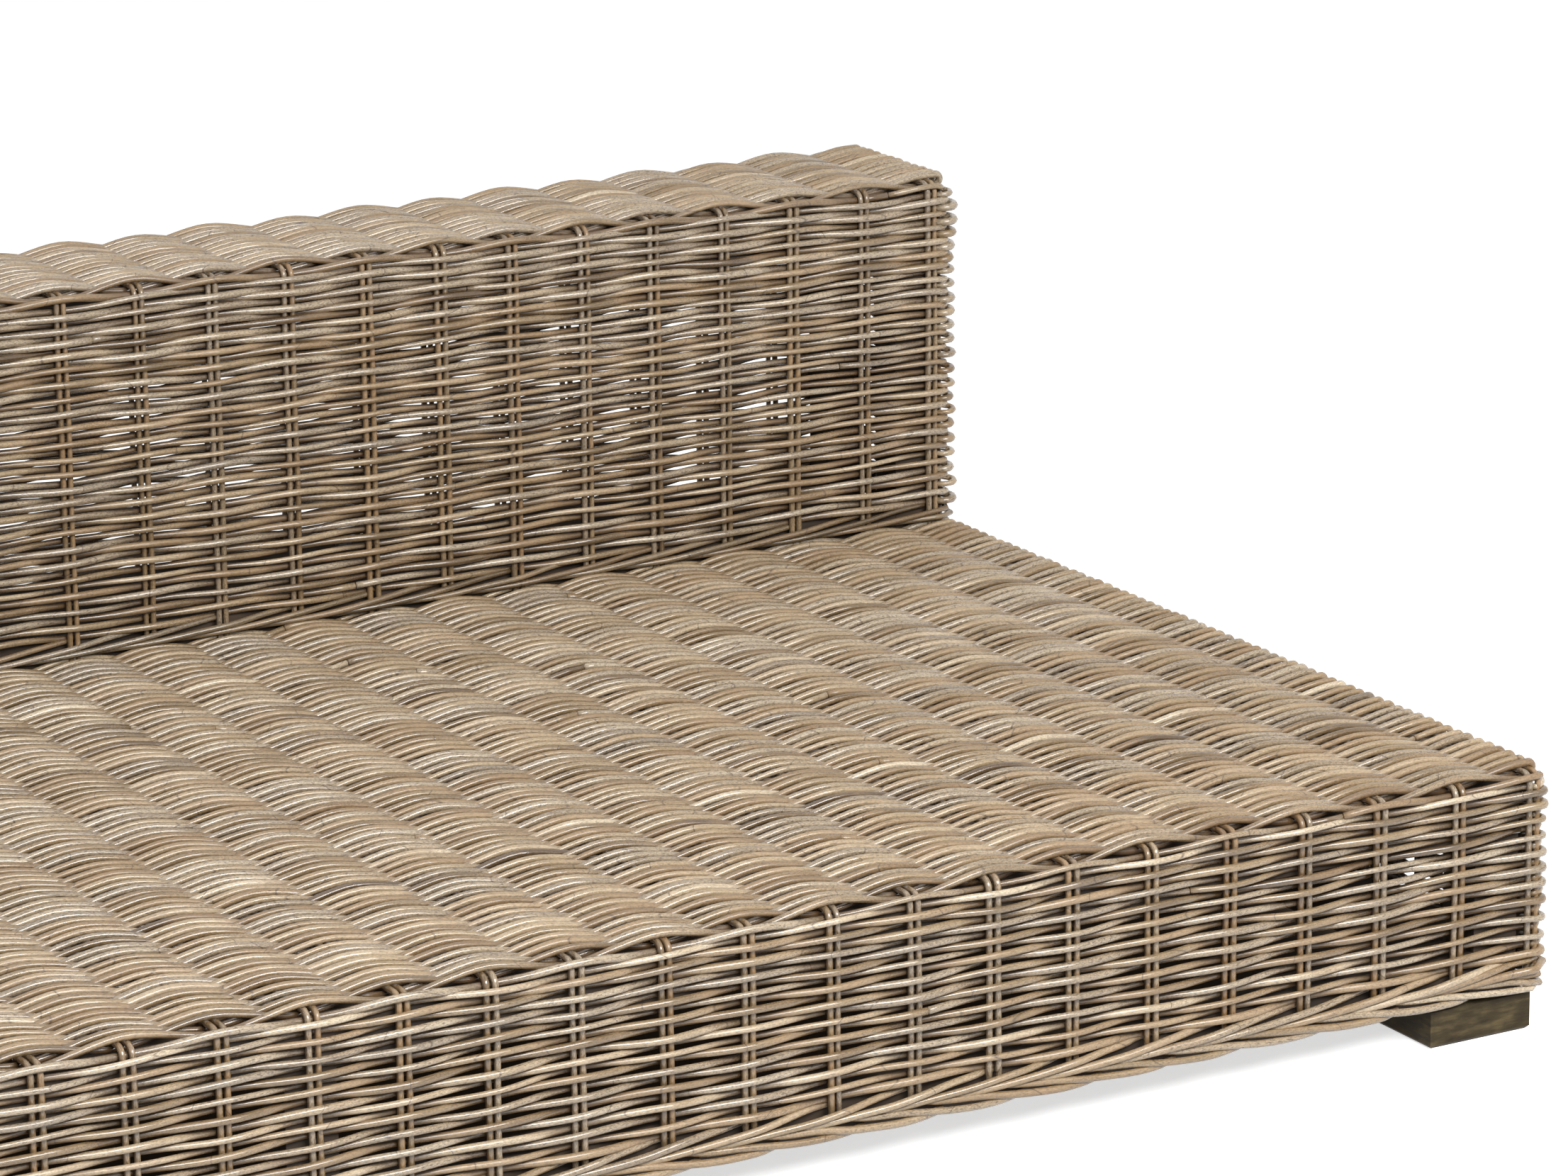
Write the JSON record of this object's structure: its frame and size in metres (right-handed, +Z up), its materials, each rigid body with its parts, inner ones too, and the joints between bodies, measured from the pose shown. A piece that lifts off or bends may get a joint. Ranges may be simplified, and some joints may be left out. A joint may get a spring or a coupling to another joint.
{
  "type": "rattan garden sofa",
  "caption": "Low, deep woven rattan sofa with a box backrest along its rear edge, no arms, a rolled cane border at the base and short timber block feet.",
  "frame": {"origin": "on the floor, under the middle of the sofa's outer box", "axes": "+X along the length, to the right for someone facing the sofa; the front faces -Y; +Z up"},
  "size_m": [2.293, 1.152, 0.566],
  "materials": {
    "cane": "natural grey-brown rattan cane, satin",
    "border_cane": "darker brown rattan cane, satin",
    "frame_timber": "plain sawn hardwood",
    "foot_timber": "dark olive-brown stain, rubbed",
    "bolt_steel": "zinc plated"
  },
  "bodies": {
    "root": {"seat_weave": "cane", "front_weave": "cane", "left_weave": "cane", "right_weave": "cane", "rear_weave": "cane", "back_top_weave": "cane", "back_front_weave": "cane", "back_left_weave": "cane", "back_right_weave": "cane", "border_front": "border_cane", "border_rear": "border_cane", "border_left": "border_cane", "border_right": "border_cane", "back_border_front": "border_cane", "corner_post_front_left": "frame_timber", "corner_post_front_right": "frame_timber", "corner_post_rear_left": "frame_timber", "corner_post_rear_right": "frame_timber", "lower_rail_front": "frame_timber", "lower_rail_rear": "frame_timber", "lower_rail_left": "frame_timber", "lower_rail_right": "frame_timber", "upper_rail_front": "frame_timber", "upper_rail_rear": "frame_timber", "upper_rail_left": "frame_timber", "upper_rail_right": "frame_timber", "middle_post_front": "frame_timber", "middle_post_rear": "frame_timber", "seat_bearer_1": "frame_timber", "seat_bearer_2": "frame_timber", "seat_bearer_3": "frame_timber", "seat_bearer_4": "frame_timber", "seat_bearer_5": "frame_timber", "back_post_front_left": "frame_timber", "back_post_front_right": "frame_timber", "back_post_rear_left": "frame_timber", "back_post_rear_right": "frame_timber", "back_foot_rail_front": "frame_timber", "back_foot_rail_rear": "frame_timber", "back_top_rail_front": "frame_timber", "back_top_rail_rear": "frame_timber", "back_top_rail_left": "frame_timber", "back_top_rail_right": "frame_timber", "back_middle_post_front": "frame_timber", "back_middle_post_rear": "frame_timber", "foot_front_left": "foot_timber", "foot_front_right": "foot_timber", "foot_front_middle": "foot_timber", "foot_rear_left": "foot_timber", "foot_rear_right": "foot_timber", "foot_rear_middle": "foot_timber", "foot_bolt_front_left": "bolt_steel", "foot_bolt_front_right": "bolt_steel", "foot_bolt_front_middle": "bolt_steel", "foot_bolt_rear_left": "bolt_steel", "foot_bolt_rear_right": "bolt_steel", "foot_bolt_rear_middle": "bolt_steel", "back_bolt_left": "bolt_steel", "back_bolt_right": "bolt_steel"}
  },
  "joints": []
}
